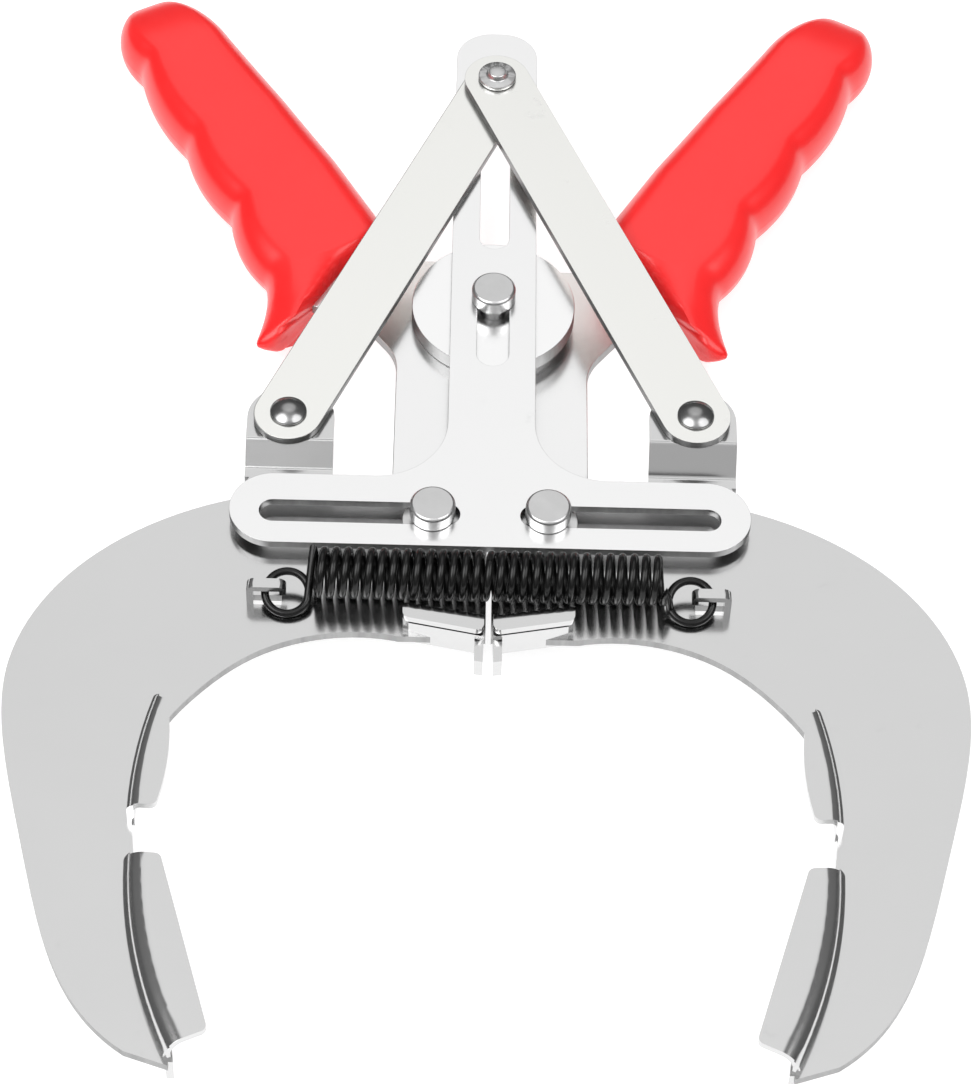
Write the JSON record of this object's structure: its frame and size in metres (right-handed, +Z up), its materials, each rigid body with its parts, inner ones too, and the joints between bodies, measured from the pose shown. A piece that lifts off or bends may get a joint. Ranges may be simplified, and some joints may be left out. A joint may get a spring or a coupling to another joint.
{
  "type": "piston ring pliers",
  "caption": "Sheet-steel pliers whose two curved claw jaws spread apart in a sliding guide plate when the red moulded grips are squeezed, to open a piston ring.",
  "frame": {"origin": "middle of the overall length and width, on the surface that the pliers lie on", "axes": "+Y from the jaws to the grips, +Z up from the surface, +X to the right with the jaws towards the viewer"},
  "size_m": [0.1556, 0.2286, 0.0188],
  "materials": {
    "zinc_sheet": "bright zinc plated, fine rolling lines",
    "pin_steel": "turned and zinc plated",
    "rivet_steel": "burnished dome",
    "washer_steel": "zinc plated",
    "spring_black": "oil blackened spring wire",
    "grip_red": "satin gloss moulded vinyl"
  },
  "bodies": {
    "guide": {"guide_plate": "zinc_sheet", "top_rivet": "pin_steel", "return_spring": "spring_black"},
    "left_slider": {"left_slot_pin": "pin_steel", "left_front_bush": "washer_steel", "left_lever_spacer": "washer_steel", "left_rear_washer": "washer_steel"},
    "right_slider": {"right_slot_pin": "pin_steel", "right_front_bush": "washer_steel", "right_lever_spacer": "washer_steel", "right_rear_washer": "washer_steel"},
    "left_jaw": {"left_jaw": "zinc_sheet", "left_ear_rivet": "rivet_steel"},
    "right_jaw": {"right_jaw": "zinc_sheet", "right_ear_rivet": "rivet_steel"},
    "left_lever": {"left_lever": "zinc_sheet", "left_grip": "grip_red", "centre_pin": "pin_steel", "spacer_disc": "washer_steel", "centre_rear_washer": "washer_steel"},
    "right_lever": {"right_lever": "zinc_sheet", "right_grip": "grip_red"},
    "left_link": {"left_link": "zinc_sheet"},
    "right_link": {"right_link": "zinc_sheet"}
  },
  "joints": [
    {"name": "left_slot_slide", "type": "slide", "parent": "guide", "child": "left_slider", "axis": [-1, 0, 0], "range_m": [0, 0.02], "stiffness_N_per_m": 1500, "springref_m": -0.004, "deforming": ["return_spring"]},
    {"name": "right_slot_slide", "type": "slide", "parent": "guide", "child": "right_slider", "axis": [1, 0, 0], "range_m": [0, 0.0205]},
    {"name": "left_jaw_pivot", "type": "hinge", "parent": "left_slider", "child": "left_jaw", "pos_m": [-0.0096, -0.0107, 0], "axis": [0, 0, -1], "range_deg": [0, 17.87]},
    {"name": "left_lever_pivot", "type": "hinge", "parent": "left_slider", "child": "left_lever", "pos_m": [-0.0096, -0.0107, 0], "axis": [0, 0, -1], "range_deg": [0, 25.6]},
    {"name": "left_link_pivot", "type": "hinge", "parent": "guide", "child": "left_link", "pos_m": [0, 0.0884, 0], "axis": [0, 0, -1], "range_deg": [0, 10.01]},
    {"name": "right_jaw_pivot", "type": "hinge", "parent": "right_slider", "child": "right_jaw", "pos_m": [0.0096, -0.0107, 0], "axis": [0, 0, 1], "range_deg": [0, 17.87]},
    {"name": "right_lever_pivot", "type": "hinge", "parent": "right_slider", "child": "right_lever", "pos_m": [0.0096, -0.0107, 0], "axis": [0, 0, 1], "range_deg": [0, 25.6]},
    {"name": "right_link_pivot", "type": "hinge", "parent": "guide", "child": "right_link", "pos_m": [0, 0.0884, 0], "axis": [0, 0, 1], "range_deg": [0, 10.01]}
  ],
  "couplings": [
    {"joint": "right_slot_slide", "follows": "left_slot_slide", "ratio": 1},
    {"joint": "left_jaw_pivot", "follows": "left_slot_slide", "rad_per_m": 15.33},
    {"joint": "left_lever_pivot", "follows": "left_slot_slide", "rad_per_m": 22.08},
    {"joint": "left_link_pivot", "follows": "left_slot_slide", "rad_per_m": 8.476},
    {"joint": "right_jaw_pivot", "follows": "left_slot_slide", "rad_per_m": 15.33},
    {"joint": "right_lever_pivot", "follows": "left_slot_slide", "rad_per_m": 22.08},
    {"joint": "right_link_pivot", "follows": "left_slot_slide", "rad_per_m": 8.476}
  ]
}
